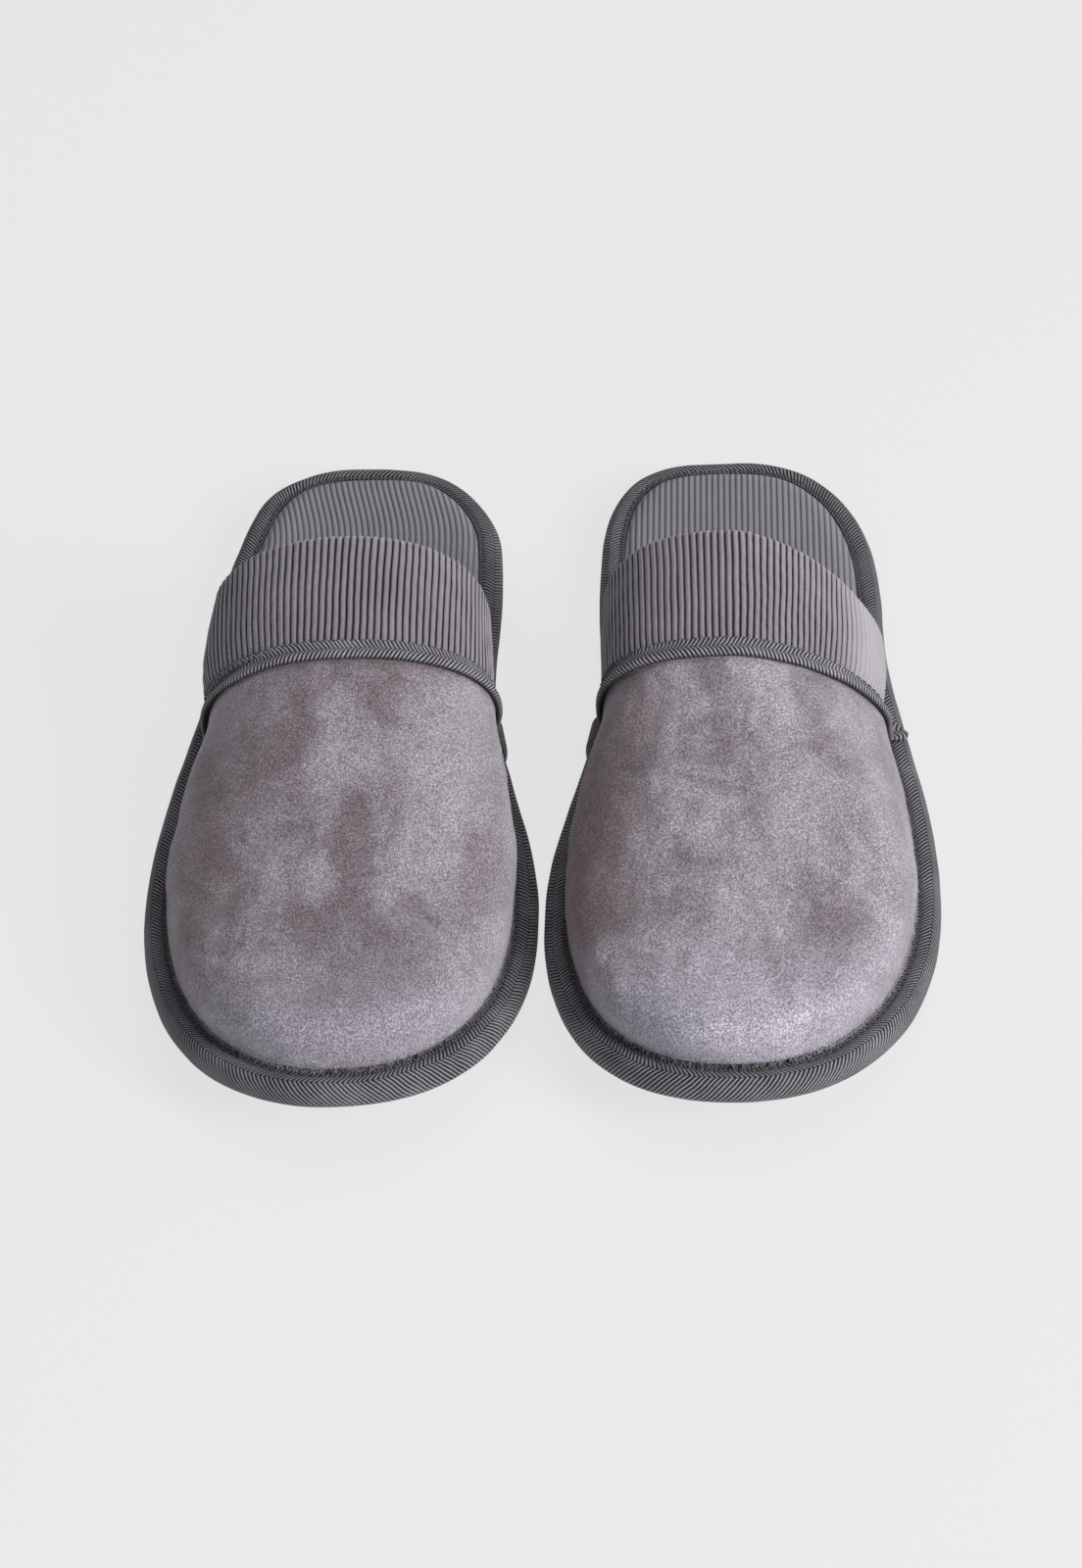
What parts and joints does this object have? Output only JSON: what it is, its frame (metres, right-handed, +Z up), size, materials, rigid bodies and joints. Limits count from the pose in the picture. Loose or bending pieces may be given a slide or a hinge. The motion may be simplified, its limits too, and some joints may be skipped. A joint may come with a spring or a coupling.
{
  "type": "closed-toe spa slippers",
  "caption": "Left and right closed-toe slip-on spa slippers with a padded velour vamp, ribbed knit cuff and insole, taped seams and a flat bound sole, worn in a spa or massage room.",
  "frame": {"origin": "on the floor, under the middle of the pair's bounding box", "axes": "+Z up; +Y from the toes towards the heels; +X from the right foot's slipper towards the left foot's"},
  "size_m": [0.2128, 0.275, 0.0602],
  "materials": {
    "outsole": "matte black rubber with chevron grooves",
    "midsole": "closed-cell foam core, light grey",
    "board": "pressed fibre insole board",
    "foam": "soft open-cell foam, cream",
    "insole_knit": "soft ribbed knit, bluish grey, ribs lengthwise",
    "binding": "charcoal herringbone twill tape",
    "thread": "dark sewing thread",
    "velour": "mauve-grey velour with a brushed nap",
    "lining": "plain grey knit lining",
    "cuff_knit": "ribbed knit, dark mauve grey, ribs lengthwise"
  },
  "bodies": {
    "right_slipper": {"right_outsole": "outsole", "right_midsole_foam": "midsole", "right_insole_board": "board", "right_insole_pad": "foam", "right_insole_cover": "insole_knit", "right_edge_binding": "binding", "right_binding_lap": "binding", "right_binding_stitch": "thread", "right_vamp_shell": "velour", "right_vamp_foam": "foam", "right_vamp_lining": "lining", "right_cuff_knit": "cuff_knit", "right_cuff_padding": "foam", "right_seam_tape": "binding", "right_seam_stitch": "thread"},
    "left_slipper": {"left_outsole": "outsole", "left_midsole_foam": "midsole", "left_insole_board": "board", "left_insole_pad": "foam", "left_insole_cover": "insole_knit", "left_edge_binding": "binding", "left_binding_lap": "binding", "left_binding_stitch": "thread", "left_vamp_shell": "velour", "left_vamp_foam": "foam", "left_vamp_lining": "lining", "left_cuff_knit": "cuff_knit", "left_cuff_padding": "foam", "left_seam_tape": "binding", "left_seam_stitch": "thread"}
  },
  "joints": [
    {"name": "left_slipper_lift", "type": "slide", "parent": "right_slipper", "child": "left_slipper", "axis": [0, 0, 1], "range_m": [0, 0.12]}
  ]
}
